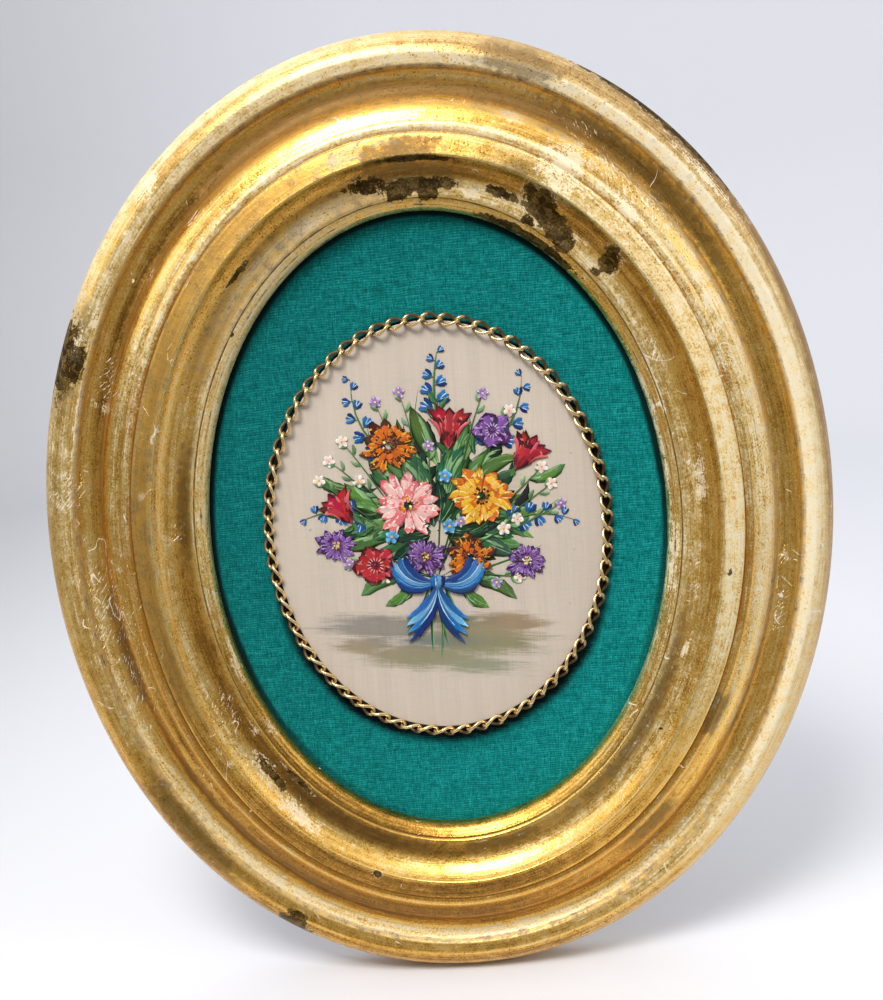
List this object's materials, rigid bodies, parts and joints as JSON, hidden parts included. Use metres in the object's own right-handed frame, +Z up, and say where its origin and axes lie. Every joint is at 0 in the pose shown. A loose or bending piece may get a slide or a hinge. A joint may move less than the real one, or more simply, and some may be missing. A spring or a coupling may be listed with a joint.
{
  "type": "framed oval painting on silk",
  "caption": "Oval wall picture: a broad gilt moulding round a teal cloth mat, with a painted silk oval at its middle edged in a brass curb chain.",
  "frame": {"origin": "on the flat back of the frame's top rail, at mid width, where a wall hook would take it", "axes": "+Z up the picture, +Y into the wall, so the picture faces -Y; +X to the right as a viewer sees it"},
  "size_m": [0.2386, 0.0226, 0.2898],
  "materials": {
    "gold_leaf": "gold leaf over gesso, worn and rubbed",
    "teal_cloth": "ribbed cloth stretched over board, matt",
    "painted_silk": "silk on card with opaque paint, soft sheen",
    "antique_brass": "aged brass, dark in the hollows",
    "grey_card": "plain uncoated board"
  },
  "bodies": {
    "root": {"gilt_frame": "gold_leaf", "fabric_mat": "teal_cloth", "silk_panel": "painted_silk", "chain_trim": "antique_brass", "backing_board": "grey_card"}
  },
  "joints": []
}
